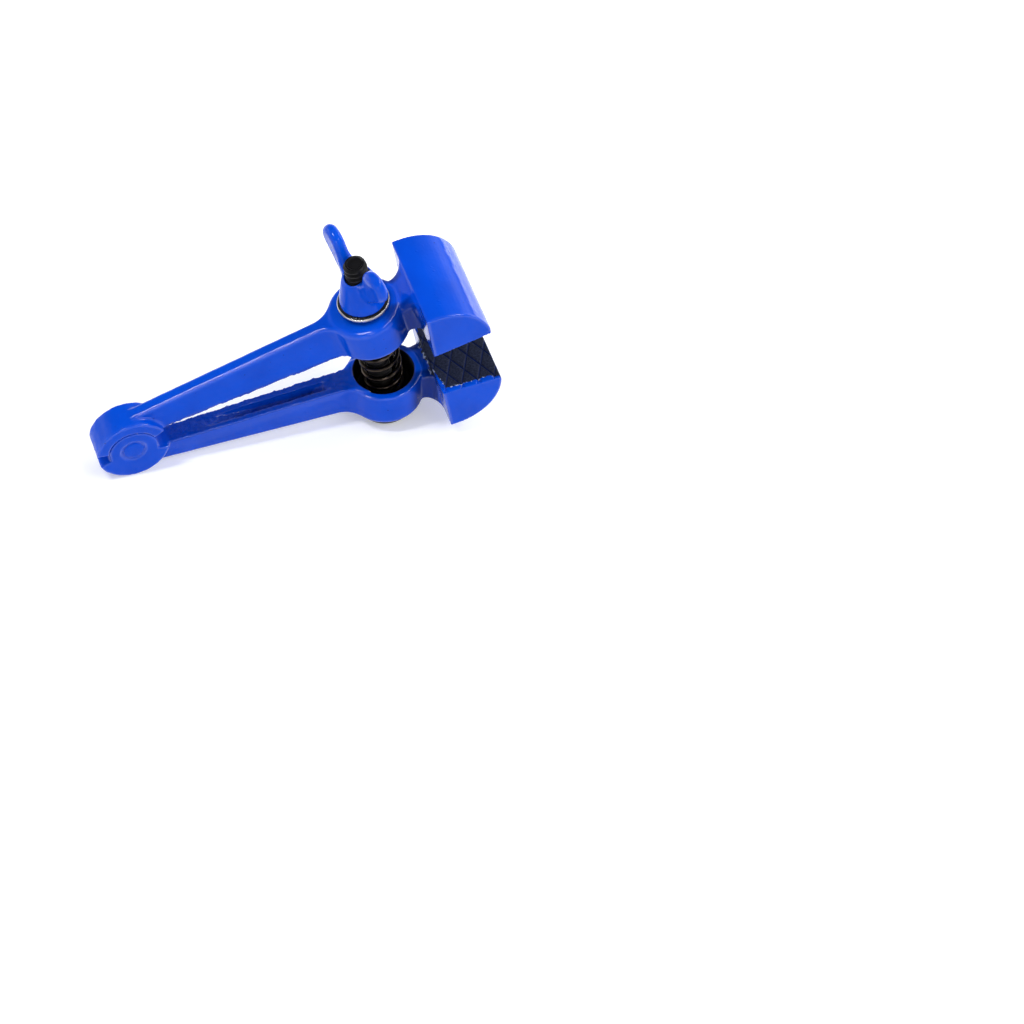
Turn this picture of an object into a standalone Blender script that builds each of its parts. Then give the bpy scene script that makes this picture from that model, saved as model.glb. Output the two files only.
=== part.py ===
"""Hand vise: two identical cast legs on a riveted knuckle, a clamp bolt with a spring and a wing nut.

Metres, +Z up. Every leg is modelled in its own frame: the knuckle axis is Y through the origin, +X runs to the
jaw, and +Z runs outward from the plane in which the two jaws meet.
"""
import math

import bmesh
import bpy
from mathutils import Matrix, Vector

# Knuckle: half of it a disc on the pivot, half a ring round the other leg's disc
KNUCKLE_RADIUS = 0.0120
KNUCKLE_WIDTH = 0.0102
DISC_RADIUS = 0.0077
KNUCKLE_STOP_ANGLE = math.radians(17.5)
KNUCKLE_CLEARANCE = 0.0003

# Leg: a tapering beam with a wide inner face and a narrow outer one
LEG_START = 0.0020
LEG_ROOT = KNUCKLE_RADIUS
LEG_INNER_AT_ROOT = 0.0030
LEG_INNER_AT_BOSS = 0.0016
LEG_OUTER_AT_ROOT = 0.0122
LEG_INNER_HALF_WIDTH_AT_ROOT = 0.0030
LEG_INNER_HALF_WIDTH_AT_BOSS = 0.0039
LEG_OUTER_HALF_WIDTH = 0.0022
LEG_EDGE_CHAMFER = 0.0006
LEG_FILLET = 0.0085

# Groove along the leg's inner face, deepest at the boss
GROOVE_KNUCKLE_GAP = 0.0050
GROOVE_BOSS_GAP = 0.0052
GROOVE_HALF_WIDTH = 0.0016
GROOVE_DEPTH_AT_BOSS = 0.0036
GROOVE_DEPTH_AT_ROOT = 0.0010

# Boss: carries the clamp bolt and one end of the spring
BOSS_X = 0.0845
BOSS_RADIUS = 0.0121
BOSS_INNER = 0.0026
BOSS_OUTER = 0.0158
BOSS_RIM_ROUNDING = 0.0020
BOSS_FACE_STEP = 0.0005
FILLET_SINK = 0.0002
BOSS_WALL = 0.0025
RECESS_FLOOR = 0.0050
BOLT_HOLE_SLACK = 0.0014

# Neck between the boss and the jaw
NECK_LENGTH = 0.0022
NECK_HALF_WIDTH = 0.0067
NECK_INNER_HALF_WIDTH = 0.0058
NECK_INNER = 0.0030
NECK_STEP = 0.0018
NECK_EDGE_CHAMFER = 0.0010
NECK_BOSS_FILLET = 0.0040
NECK_JAW_FILLET = 0.0027
NECK_RISE = 0.0011

# Jaw: a wide D with a flat gripping face
JAW_DEPTH = 0.0199
JAW_OUTER_STEP = 0.0018
JAW_OUTER_Z = 0.0175
JAW_WIDTH = 0.0360
JAW_ROUNDNESS = 2.15
JAW_EDGE_CHAMFER = 0.0004
TIP_LAND = 0.0006
JAW_BACK = BOSS_X + BOSS_RADIUS + NECK_LENGTH
JAW_TIP = JAW_BACK + JAW_DEPTH
JAW_OUTER_X = JAW_BACK + JAW_OUTER_STEP

# Crossed grooves in the gripping face
TOOTH_PITCH = 0.00495
TOOTH_GROOVE_WIDTH = 0.0010
TOOTH_GROOVE_DEPTH = 0.0005
TOOTH_ANGLE = math.radians(63.5)
TOOTH_CENTRE_SHARE = 0.472
TOOTH_MARGIN = 0.0016

# Pivot rivet
RIVET_RADIUS = 0.0030
RIVET_CLEARANCE = 0.0003
RIVET_HEAD_LIP = 0.0008
RIVET_HEAD_HEIGHT = 0.0022

# Clamp bolt
BOLT_RADIUS = 0.0038
BOLT_LENGTH = 0.0685
BOLT_POINT_CHAMFER = 0.0010
BOLT_HEAD_LEDGE = 0.0054
BOLT_HEAD_RADIUS = BOLT_RADIUS + BOLT_HEAD_LEDGE
BOLT_HEAD_THICKNESS = 0.0020
BOLT_HEAD_BEVEL = 0.0006
BOLT_CLEARANCE = 0.0003

# Wing nut
NUT_BASE_RADIUS = 0.0075
NUT_BASE_LAND = 0.0008
NUT_COLLAR_WALL = 0.0012
NUT_COLLAR_RADIUS = BOLT_RADIUS + NUT_COLLAR_WALL
NUT_HEIGHT = 0.0128
NUT_RIM_CHAMFER = 0.0004
NUT_TURN = math.radians(105.0)
WING_TIP_X = 0.0120
WING_TIP_Z = 0.0176
WING_TIP_RADIUS = 0.0054
WING_SINK = 0.0008
WING_ROOT_LOW = 0.0030
WING_THICKNESS = 0.0040
WING_BEVEL = 0.0010

# Washer under the wing nut
WASHER_RIM = 0.0009
WASHER_RADIUS = NUT_BASE_RADIUS + WASHER_RIM
WASHER_HOLE_SLACK = 0.0006
WASHER_THICKNESS = 0.0014
WASHER_BEVEL = 0.00025

# Spring between the two recesses
SPRING_WIRE = 0.0015
SPRING_SLACK = 0.0015
SPRING_RADIUS = BOLT_RADIUS + SPRING_SLACK + SPRING_WIRE / 2
SPRING_TURNS = 8.5
SPRING_END_TURNS = 1.0
SPRING_END_PITCH = 0.0021
SPRING_SHIFT = 0.0009
SPRING_POINTS_PER_TURN = 10

# Rest pose: the jaws stand open and the vise lies on one leg
OPENING = math.radians(10.85)
BOLT_LEAN_SHARE = 0.45
SEAT_GAP = 0.0003
OVERRUN = 0.0010

# Faces round a full turn
ROUND = 72
SMALL_ROUND = 48
JAW_CURVE_STEPS = 18
FILLET_STEPS = 7
RIM_STEPS = 4
FLATNESS = math.radians(0.01)

ENAMEL = ("blue_enamel", (0.004, 0.040, 0.600, 1.0), 0.28, 0.0)
BLACK_OXIDE = ("black_oxide", (0.012, 0.012, 0.013, 1.0), 0.38, 0.85)
SPRING_STEEL = ("spring_steel", (0.060, 0.045, 0.035, 1.0), 0.30, 0.95)
BRIGHT_STEEL = ("bright_steel", (0.560, 0.550, 0.530, 1.0), 0.28, 1.0)


def clear_scene():
    for item in list(bpy.data.objects):
        bpy.data.objects.remove(item, do_unlink=True)


def material(finish, node):
    name, colour, roughness, metallic = finish
    made = bpy.data.materials.new(f"{name}_{node}")
    made.use_nodes = True
    shader = made.node_tree.nodes["Principled BSDF"]
    shader.inputs["Base Color"].default_value = colour
    shader.inputs["Roughness"].default_value = roughness
    shader.inputs["Metallic"].default_value = metallic
    return made


def add_object(name, mesh):
    item = bpy.data.objects.new(name, mesh)
    bpy.context.scene.collection.objects.link(item)
    return item


def mesh_object(name, bm):
    bmesh.ops.connect_verts_nonplanar(bm, angle_limit=FLATNESS, faces=bm.faces)
    bmesh.ops.recalc_face_normals(bm, faces=bm.faces)
    mesh = bpy.data.meshes.new(name)
    bm.to_mesh(mesh)
    bm.free()
    return add_object(name, mesh)


def loft(name, sections):
    """A closed body through rings of points that all have the same count."""
    bm = bmesh.new()
    rings = [[bm.verts.new(point) for point in section] for section in sections]
    count = len(rings[0])
    for near, far in zip(rings, rings[1:]):
        for i in range(count):
            j = (i + 1) % count
            bm.faces.new((near[i], near[j], far[j], far[i]))
    bm.faces.new(rings[0])
    bm.faces.new(rings[-1])
    return mesh_object(name, bm)


def prism_along_y(name, outline, low, high):
    """An XZ outline pulled along Y."""
    return loft(name, [[(x, y, z) for x, z in outline] for y in (low, high)])


def turned(name, profile, steps=ROUND, hollow=False):
    """A profile of (radius, height) turned round Z; a zero radius becomes a pole, an open end a flat cap."""
    bm = bmesh.new()
    rings = []
    for radius, height in profile:
        if radius == 0:
            rings.append([bm.verts.new((0, 0, height))])
            continue
        angles = [2 * math.pi * i / steps for i in range(steps)]
        rings.append([bm.verts.new((radius * math.cos(a), radius * math.sin(a), height)) for a in angles])
    pairs = list(zip(rings, rings[1:]))
    if hollow:
        pairs.append((rings[-1], rings[0]))
    for near, far in pairs:
        for i in range(steps):
            j = (i + 1) % steps
            corners = [near[i % len(near)], near[j % len(near)], far[j % len(far)], far[i % len(far)]]
            bm.faces.new(list(dict.fromkeys(corners)))
    for ring in (rings[0], rings[-1]):
        if len(ring) > 1 and not hollow:
            bm.faces.new(ring)
    return mesh_object(name, bm)


def move(item, matrix):
    item.data.transform(matrix)
    return item


def combine(body, tool, operation):
    """Applies one Boolean to the body and deletes the tool."""
    step = body.modifiers.new(operation.lower(), "BOOLEAN")
    step.operation = operation
    step.solver = "EXACT"
    step.object = tool
    result = bpy.data.meshes.new_from_object(body.evaluated_get(bpy.context.evaluated_depsgraph_get()))
    body.modifiers.clear()
    body.data = result
    bpy.data.objects.remove(tool, do_unlink=True)
    return body


def join(body, tool):
    return combine(body, tool, "UNION")


def cut(body, tool):
    return combine(body, tool, "DIFFERENCE")


def finish(item, look, sharp=math.radians(28)):
    item.data.materials.clear()
    item.data.materials.append(material(look, item.name))
    item.data.shade_smooth()
    item.data.set_sharp_from_angle(angle=sharp)
    return item


def arc(centre_x, centre_z, radius, start, end, steps):
    """Points on an arc in the XZ plane, both ends included."""
    angles = [start + (end - start) * i / steps for i in range(steps + 1)]
    return [(centre_x + radius * math.cos(a), centre_z + radius * math.sin(a)) for a in angles]


def blend(x, x0, x1, v0, v1):
    return v0 + (v1 - v0) * (x - x0) / (x1 - x0)


def knuckle_sector(low, high):
    """The part of the knuckle on the leg's own side, from the leg's inner face round to the stop."""
    start = math.asin(LEG_INNER_AT_ROOT / KNUCKLE_RADIUS)
    end = math.pi - KNUCKLE_STOP_ANGLE
    outline = arc(0, 0, KNUCKLE_RADIUS, start, end, ROUND // 2)
    return prism_along_y("sector", outline + [(0, 0)], low, high)


def along_y(radius, low, high, steps=ROUND):
    """A cylinder on the knuckle's axis."""
    last = 2 * math.pi * (steps - 1) / steps
    return prism_along_y("cylinder", arc(0, 0, radius, 0, last, steps - 1), low, high)


def upright(radius, low, high, x=0, steps=ROUND):
    """A cylinder along Z at the given distance from the knuckle."""
    item = turned("cylinder", [(radius, low), (radius, high)], steps)
    return move(item, Matrix.Translation((x, 0, 0)))


def fillet_reach(straight, fillet):
    """How far from the boss's axis a fillet starts on a beam of the given half width."""
    sunk = BOSS_RADIUS - FILLET_SINK
    return math.sqrt((sunk + fillet) ** 2 - (straight + fillet) ** 2)


def fillet_half_width(x, straight, fillet):
    """Half width, at x, of a beam that flares into the boss by a fillet."""
    sunk = BOSS_RADIUS - FILLET_SINK
    reach = fillet_reach(straight, fillet)
    tangent = reach * fillet / (sunk + fillet)
    travel = min(max(reach - abs(x - BOSS_X), 0), tangent)
    return straight + fillet - math.sqrt(fillet ** 2 - travel ** 2)


def beam_section(x, inner, outer, inner_half, outer_half, chamfer):
    """A trapezoid across the leg with its two outer edges taken off."""
    return [
        (x, -inner_half, inner),
        (x, -outer_half, outer - chamfer),
        (x, -outer_half + chamfer, outer),
        (x, outer_half - chamfer, outer),
        (x, outer_half, outer - chamfer),
        (x, inner_half, inner),
    ]


def leg_beam():
    stations = [LEG_START, LEG_ROOT]
    start = BOSS_X - fillet_reach(LEG_INNER_HALF_WIDTH_AT_BOSS, LEG_FILLET)
    stations += [blend(i, 0, FILLET_STEPS, start, BOSS_X - BOSS_RADIUS / 2) for i in range(FILLET_STEPS + 1)]
    sections = []
    for x in stations:
        inner = blend(x, LEG_ROOT, BOSS_X, LEG_INNER_AT_ROOT, LEG_INNER_AT_BOSS)
        outer = blend(min(x, start), LEG_ROOT, start, LEG_OUTER_AT_ROOT, BOSS_OUTER - BOSS_FACE_STEP)
        inner_half = blend(x, LEG_ROOT, BOSS_X, LEG_INNER_HALF_WIDTH_AT_ROOT, LEG_INNER_HALF_WIDTH_AT_BOSS)
        inner_half = fillet_half_width(x, inner_half, LEG_FILLET)
        outer_half = fillet_half_width(x, LEG_OUTER_HALF_WIDTH, LEG_FILLET)
        sections.append(beam_section(x, inner, outer, inner_half, outer_half, LEG_EDGE_CHAMFER))
    return loft("leg", sections)


def boss_body():
    rim = arc(BOSS_RADIUS - BOSS_RIM_ROUNDING, BOSS_OUTER - BOSS_RIM_ROUNDING, BOSS_RIM_ROUNDING, 0, math.pi / 2, RIM_STEPS)
    profile = [(BOSS_RADIUS, BOSS_INNER)] + rim
    return move(turned("boss", profile), Matrix.Translation((BOSS_X, 0, 0)))


def neck_beam():
    """Flares into the boss on one side and into the back of the jaw on the other."""
    jaw_start = JAW_BACK - NECK_JAW_FILLET
    boss_end = BOSS_X + fillet_reach(NECK_HALF_WIDTH, NECK_BOSS_FILLET)
    near = [blend(i, 0, FILLET_STEPS, BOSS_X + BOSS_RADIUS / 2, boss_end) for i in range(FILLET_STEPS + 1)]
    turns = [math.pi / 2 * i / FILLET_STEPS for i in range(FILLET_STEPS)]
    far = [jaw_start + NECK_JAW_FILLET * math.sin(turn) for turn in turns]
    stations = [x for x in near if x < jaw_start] + far + [JAW_OUTER_X + TIP_LAND]
    sections = []
    for x in stations:
        along = min(max(x - jaw_start, 0), NECK_JAW_FILLET)
        flare = NECK_JAW_FILLET - math.sqrt(NECK_JAW_FILLET ** 2 - along ** 2)
        inner_half = fillet_half_width(x, NECK_INNER_HALF_WIDTH, NECK_BOSS_FILLET) + flare
        outer_half = fillet_half_width(x, NECK_HALF_WIDTH, NECK_BOSS_FILLET) + flare
        outer = BOSS_OUTER - NECK_STEP + flare * NECK_RISE / NECK_JAW_FILLET
        sections.append(beam_section(x, NECK_INNER, outer, inner_half, outer_half, NECK_EDGE_CHAMFER))
    return loft("neck", sections)


def jaw_outline():
    """Back corner, tip, then the curved outer side back to the outer corner."""
    depth = JAW_TIP - JAW_OUTER_X
    points = [(JAW_BACK, 0), (JAW_TIP - TIP_LAND, 0)]
    for i in range(1, JAW_CURVE_STEPS + 1):
        turn = math.pi / 2 * i / JAW_CURVE_STEPS
        along = math.cos(turn) ** (2 / JAW_ROUNDNESS)
        out = math.sin(turn) ** (2 / JAW_ROUNDNESS)
        points.append((JAW_OUTER_X + depth * along, JAW_OUTER_Z * out))
    return points


def jaw_body():
    half = JAW_WIDTH / 2
    outline = jaw_outline()
    middle_x = sum(x for x, z in outline) / len(outline)
    middle_z = sum(z for x, z in outline) / len(outline)
    reach = max(math.hypot(x - middle_x, z - middle_z) for x, z in outline)
    shrink = 1 - JAW_EDGE_CHAMFER / reach
    small = [(middle_x + (x - middle_x) * shrink, middle_z + (z - middle_z) * shrink) for x, z in outline]
    sections = [
        [(x, -half, z) for x, z in small],
        [(x, -half + JAW_EDGE_CHAMFER, z) for x, z in outline],
        [(x, half - JAW_EDGE_CHAMFER, z) for x, z in outline],
        [(x, half, z) for x, z in small],
    ]
    return loft("jaw", sections)


def groove_cutter():
    """A slot with rounded ends whose floor falls toward the boss."""
    first = KNUCKLE_RADIUS + GROOVE_KNUCKLE_GAP
    last = BOSS_X - BOSS_RADIUS - GROOVE_BOSS_GAP - GROOVE_HALF_WIDTH
    centres = ((first, math.pi / 2, GROOVE_DEPTH_AT_ROOT), (last, -math.pi / 2, GROOVE_DEPTH_AT_BOSS))
    steps = FILLET_STEPS + 1
    low = []
    high = []
    for centre, start, depth in centres:
        for i in range(steps + 1):
            turn = start + math.pi * i / steps
            x = centre + GROOVE_HALF_WIDTH * math.cos(turn)
            y = GROOVE_HALF_WIDTH * math.sin(turn)
            face = blend(centre, LEG_ROOT, BOSS_X, LEG_INNER_AT_ROOT, LEG_INNER_AT_BOSS)
            low.append((x, y, -OVERRUN))
            high.append((x, y, face + depth))
    return loft("groove", [low, high])


def tooth_cutters():
    """Bars with a V section that cross the gripping face both ways."""
    reach = math.hypot(JAW_TIP - JAW_BACK, JAW_WIDTH) / 2 + OVERRUN
    half = TOOTH_GROOVE_WIDTH / 2
    centre = JAW_BACK + TOOTH_CENTRE_SHARE * (JAW_TIP - JAW_BACK)
    bars = []
    for angle in (TOOTH_ANGLE, -TOOTH_ANGLE):
        across = Vector((-math.sin(angle), math.cos(angle), 0))
        span = abs(across.x) * (JAW_TIP - JAW_BACK) / 2 + abs(across.y) * JAW_WIDTH / 2 - TOOTH_MARGIN
        count = int(span // TOOTH_PITCH)
        for i in range(-count, count + 1):
            outline = [(-half, 0), (0, TOOTH_GROOVE_DEPTH), (half, 0), (half, -OVERRUN), (-half, -OVERRUN)]
            bar = loft("tooth", [[(x, y, z) for y, z in outline] for x in (-reach, reach)])
            place = Matrix.Translation(Vector((centre, 0, 0)) + across * (i * TOOTH_PITCH))
            bars.append(move(bar, place @ Matrix.Rotation(angle, 4, "Z")))
    return bars


def casting():
    """One leg: the disc is on its +Y side and the ring on its -Y side."""
    half = KNUCKLE_WIDTH / 2
    middle = KNUCKLE_CLEARANCE / 2
    ring_radius = DISC_RADIUS + KNUCKLE_CLEARANCE
    body = leg_beam()
    body = join(body, knuckle_sector(-half, half))
    body = join(body, along_y(DISC_RADIUS, -middle, half))
    body = cut(body, along_y(ring_radius, -half - OVERRUN, middle))
    body = join(body, boss_body())
    body = join(body, neck_beam())
    body = join(body, jaw_body())
    body = cut(body, upright(BOSS_RADIUS - BOSS_WALL, -OVERRUN, BOSS_OUTER - RECESS_FLOOR, BOSS_X))
    body = cut(body, upright(BOLT_RADIUS + BOLT_HOLE_SLACK, -OVERRUN, BOSS_OUTER + OVERRUN, BOSS_X, SMALL_ROUND))
    body = cut(body, groove_cutter())
    body = cut(body, along_y(RIVET_RADIUS + RIVET_CLEARANCE, -OVERRUN, half + OVERRUN, SMALL_ROUND))
    for bar in tooth_cutters():
        body = cut(body, bar)
    return body


def rivet(name):
    """Shank along Z, domed head at the top, the other end flush with the knuckle's face."""
    half = KNUCKLE_WIDTH / 2
    seat = half + SEAT_GAP
    head = RIVET_RADIUS + RIVET_HEAD_LIP
    dome = [(0, seat + RIVET_HEAD_HEIGHT)]
    sphere = (head ** 2 + RIVET_HEAD_HEIGHT ** 2) / (2 * RIVET_HEAD_HEIGHT)
    sweep = math.asin(head / sphere)
    for i in range(1, FILLET_STEPS + 1):
        turn = sweep * i / FILLET_STEPS
        height = seat + RIVET_HEAD_HEIGHT - sphere * (1 - math.cos(turn))
        dome.append((sphere * math.sin(turn), height))
    profile = dome + [
        (RIVET_RADIUS, seat),
        (RIVET_RADIUS, -half),
    ]
    return turned(name, profile, SMALL_ROUND)


def bolt(name):
    """Thin round head under the seat, rod up, thread crests as a plain rod with a chamfered point."""
    profile = [
        (BOLT_HEAD_RADIUS - BOLT_HEAD_BEVEL, -BOLT_HEAD_THICKNESS),
        (BOLT_HEAD_RADIUS, -BOLT_HEAD_THICKNESS + BOLT_HEAD_BEVEL),
        (BOLT_HEAD_RADIUS, 0),
        (BOLT_RADIUS, 0),
        (BOLT_RADIUS, BOLT_LENGTH - BOLT_POINT_CHAMFER),
        (BOLT_RADIUS - BOLT_POINT_CHAMFER, BOLT_LENGTH),
    ]
    return turned(name, profile, SMALL_ROUND)


def washer(name):
    outer = WASHER_RADIUS
    hole = BOLT_RADIUS + WASHER_HOLE_SLACK
    profile = [
        (hole, 0),
        (outer - WASHER_BEVEL, 0),
        (outer, WASHER_BEVEL),
        (outer, WASHER_THICKNESS - WASHER_BEVEL),
        (outer - WASHER_BEVEL, WASHER_THICKNESS),
        (hole, WASHER_THICKNESS),
    ]
    return turned(name, profile, hollow=True)


def tangent_from(point, centre, radius, side):
    """Where a line from the point touches the circle, on the given side."""
    across = Vector(centre) - Vector(point)
    spread = math.asin(radius / across.length)
    heading = math.atan2(across.y, across.x) + side * spread
    length = math.sqrt(across.length ** 2 - radius ** 2)
    return point[0] + length * math.cos(heading), point[1] + length * math.sin(heading)


def wing_outline():
    """From the cone's foot out to a round tip and back to the collar."""
    centre = (WING_TIP_X, WING_TIP_Z)
    root = NUT_COLLAR_RADIUS - WING_SINK
    low = (root, WING_ROOT_LOW)
    high = (root, NUT_HEIGHT - NUT_BASE_LAND)
    first = tangent_from(low, centre, WING_TIP_RADIUS, -1)
    last = tangent_from(high, centre, WING_TIP_RADIUS, 1)
    start = math.atan2(first[1] - centre[1], first[0] - centre[0])
    end = math.atan2(last[1] - centre[1], last[0] - centre[0])
    if end < start:
        end += 2 * math.pi
    return [low] + arc(centre[0], centre[1], WING_TIP_RADIUS, start, end, 2 * FILLET_STEPS) + [high]


def wing_body(name):
    """A slab with bevelled rims."""
    outline = wing_outline()
    half = WING_THICKNESS / 2
    count = len(outline)
    inset = []
    for i, (x, z) in enumerate(outline):
        before = Vector(outline[i - 1])
        after = Vector(outline[(i + 1) % count])
        here = Vector((x, z))
        into = (here - before).normalized()
        out_of = (after - here).normalized()
        normal = Vector((-(into.y + out_of.y), into.x + out_of.x)).normalized()
        spread = max(normal.dot(Vector((-into.y, into.x))), math.cos(math.radians(50)))
        inset.append(tuple(here + normal * (WING_BEVEL / spread)))
    sections = [
        [(x, -half, z) for x, z in inset],
        [(x, -half + WING_BEVEL, z) for x, z in outline],
        [(x, half - WING_BEVEL, z) for x, z in outline],
        [(x, half, z) for x, z in inset],
    ]
    return loft(name, sections)


def wing_nut(name):
    profile = [
        (NUT_BASE_RADIUS, 0),
        (NUT_BASE_RADIUS, NUT_BASE_LAND),
        (NUT_COLLAR_RADIUS, NUT_HEIGHT - NUT_RIM_CHAMFER),
        (NUT_COLLAR_RADIUS - NUT_RIM_CHAMFER, NUT_HEIGHT),
    ]
    body = turned(name, profile)
    for turn in (0, math.pi):
        wing = move(wing_body("wing"), Matrix.Rotation(turn, 4, "Z"))
        body = join(body, wing)
    hole = upright(BOLT_RADIUS + BOLT_CLEARANCE, -OVERRUN, WING_TIP_Z + WING_TIP_RADIUS + OVERRUN)
    body = cut(body, hole)
    return move(body, Matrix.Rotation(NUT_TURN, 4, "Z"))


def spring_axis(share, height):
    """The coil's centre line: it leaves one recess square to its floor and enters the other the same way.

    The frame is the bolt's, cut in the middle between the two seats."""
    slope = math.tan(OPENING / 2)
    bow = slope * height * (share - share ** 2)
    floor_offset = RECESS_FLOOR * math.sin(OPENING / 2) - SPRING_SHIFT
    lean = math.atan(slope * (1 - 2 * share))
    return Vector((floor_offset + bow, 0, height * share)), lean


def spring_points(height):
    """Points along the wire, from one cut end to the other."""
    end_rise = SPRING_END_PITCH * SPRING_END_TURNS
    total = int(round(SPRING_TURNS * SPRING_POINTS_PER_TURN))
    usable = height - SPRING_WIRE
    points = []
    for i in range(total + 1):
        turns = i / SPRING_POINTS_PER_TURN
        from_end = min(turns, SPRING_TURNS - turns)
        if from_end <= SPRING_END_TURNS:
            rise = SPRING_END_PITCH * from_end
        else:
            middle_turns = SPRING_TURNS - 2 * SPRING_END_TURNS
            rise = blend(from_end, SPRING_END_TURNS, SPRING_END_TURNS + middle_turns, end_rise, usable - end_rise)
        level = rise if turns * 2 <= SPRING_TURNS else usable - rise
        share = (SPRING_WIRE / 2 + level) / height
        centre, lean = spring_axis(share, height)
        angle = 2 * math.pi * turns
        around = Vector((SPRING_RADIUS * math.cos(angle), SPRING_RADIUS * math.sin(angle), 0))
        points.append(centre + Matrix.Rotation(lean, 3, "Y") @ around)
    first = points[0] + (points[0] - points[1]).normalized() * SPRING_WIRE
    last = points[-1] + (points[-1] - points[-2]).normalized() * SPRING_WIRE
    return [first] + points + [last]


def spring(name, height):
    points = spring_points(height)
    curve = bpy.data.curves.new(name, "CURVE")
    curve.dimensions = "3D"
    curve.bevel_depth = SPRING_WIRE / 2
    curve.bevel_resolution = 1
    curve.use_fill_caps = True
    line = curve.splines.new("POLY")
    line.points.add(len(points) - 1)
    for spot, point in zip(line.points, points):
        spot.co = (*point, 1)
    item = add_object(name, curve)
    gap = min(
        (points[i] - points[j]).length
        for i in range(len(points))
        for j in range(i + SPRING_POINTS_PER_TURN // 2, len(points))
    )
    print(f"spring: least gap between turns {(gap - SPRING_WIRE) * 1000:.2f} mm")
    return item


def empty(name, parent, location, turn=0):
    item = bpy.data.objects.new(name, None)
    bpy.context.scene.collection.objects.link(item)
    item.parent = parent
    item.location = location
    item.rotation_euler = (0, turn, 0)
    return item


def upper_seat():
    """Where the upper boss's outer face lies in the bolt's frame: across, along, and its slope."""
    lean = OPENING * BOLT_LEAN_SHARE
    x = BOSS_X * math.cos(OPENING) - BOSS_OUTER * math.sin(OPENING) - BOSS_X
    z = BOSS_X * math.sin(OPENING) + BOSS_OUTER * math.cos(OPENING) + BOSS_OUTER
    across = x * math.cos(lean) + z * math.sin(lean)
    along = z * math.cos(lean) - x * math.sin(lean)
    return across, along, OPENING - lean


def head_drop():
    """How far the bolt's head hangs below its seat, so that its rim just clears the leaning boss."""
    return BOLT_HEAD_RADIUS * math.sin(OPENING * BOLT_LEAN_SHARE) + SEAT_GAP


def rest_tilt():
    """How far the lower leg's jaw end is raised when it lies on the knuckle and the bolt's head."""
    lean = OPENING * BOLT_LEAN_SHARE
    foot_radius = BOLT_HEAD_RADIUS - BOLT_HEAD_BEVEL
    drop = BOLT_HEAD_THICKNESS + head_drop()
    x = BOSS_X + drop * math.sin(lean) - foot_radius * math.cos(lean)
    z = BOSS_OUTER + drop * math.cos(lean) + foot_radius * math.sin(lean)
    return math.atan2(z, x) - math.asin(KNUCKLE_RADIUS / math.hypot(x, z))


def build():
    clear_scene()
    base = empty("base", None, (0, 0, 0))
    frame = empty("lower_frame", base, (0, 0, KNUCKLE_RADIUS), -rest_tilt())
    hinge = empty("jaw_hinge", frame, (0, 0, 0), -OPENING)
    seat = empty("bolt_seat", frame, (BOSS_X, 0, -BOSS_OUTER), -OPENING * BOLT_LEAN_SHARE)
    middle = empty("spring_seat", frame, (BOSS_X, 0, -BOSS_OUTER), -OPENING / 2)

    lower = casting()
    lower.name = "lower_jaw_leg"
    upper = add_object("upper_jaw_leg", lower.data.copy())
    lower.parent = frame
    lower.rotation_euler = (math.pi, 0, 0)
    upper.parent = hinge
    finish(lower, ENAMEL)
    finish(upper, ENAMEL)

    pin = rivet("pivot_rivet")
    pin.parent = frame
    pin.rotation_euler = (-math.pi / 2, 0, 0)
    finish(pin, ENAMEL)

    rod = bolt("clamp_bolt")
    rod.parent = seat
    rod.location = (0, 0, -head_drop())
    finish(rod, BLACK_OXIDE)

    across, along, slope = upper_seat()
    washer_height = along + (WASHER_RADIUS - across) * math.tan(slope) + SEAT_GAP
    ring = washer("thrust_washer")
    ring.parent = seat
    ring.location = (0, 0, washer_height)
    finish(ring, BRIGHT_STEEL)

    nut = wing_nut("wing_nut")
    nut.parent = seat
    nut.location = (0, 0, washer_height + WASHER_THICKNESS + SEAT_GAP)
    finish(nut, ENAMEL)

    floor = RECESS_FLOOR * math.cos(OPENING / 2) + SEAT_GAP
    faces_apart = 2 * (BOSS_OUTER * math.cos(OPENING / 2) + BOSS_X * math.sin(OPENING / 2))
    coil = spring("clamp_spring", faces_apart - 2 * floor)
    coil.parent = middle
    coil.location = (0, 0, floor)
    coil.data.materials.append(material(SPRING_STEEL, coil.name))

    bpy.context.view_layer.update()
    corners = []
    for item in bpy.data.objects:
        if item.type == "MESH":
            corners += [item.matrix_world @ vert.co for vert in item.data.vertices]
    middle = (min(c.x for c in corners) + max(c.x for c in corners)) / 2
    base.location = (-middle, 0, -min(c.z for c in corners))
    bpy.context.view_layer.update()


build()
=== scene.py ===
# Hand vise: finish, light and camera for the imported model
import math

import bmesh
import bpy
import numpy as np
from mathutils import Euler, Matrix, Vector, noise as perlin


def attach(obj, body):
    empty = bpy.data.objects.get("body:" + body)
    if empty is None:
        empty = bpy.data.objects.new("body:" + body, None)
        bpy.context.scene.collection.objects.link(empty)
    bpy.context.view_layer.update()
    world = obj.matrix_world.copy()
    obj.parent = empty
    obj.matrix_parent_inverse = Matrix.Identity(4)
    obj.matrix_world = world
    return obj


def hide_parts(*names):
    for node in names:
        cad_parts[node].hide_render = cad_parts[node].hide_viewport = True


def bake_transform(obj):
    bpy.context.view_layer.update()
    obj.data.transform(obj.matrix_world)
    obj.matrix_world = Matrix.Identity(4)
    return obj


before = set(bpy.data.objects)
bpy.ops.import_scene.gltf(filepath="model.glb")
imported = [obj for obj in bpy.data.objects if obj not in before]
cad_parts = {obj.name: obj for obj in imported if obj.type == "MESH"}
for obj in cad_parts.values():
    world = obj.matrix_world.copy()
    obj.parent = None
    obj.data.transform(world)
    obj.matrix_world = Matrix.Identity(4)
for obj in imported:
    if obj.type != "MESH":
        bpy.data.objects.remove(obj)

scene = bpy.context.scene
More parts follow.
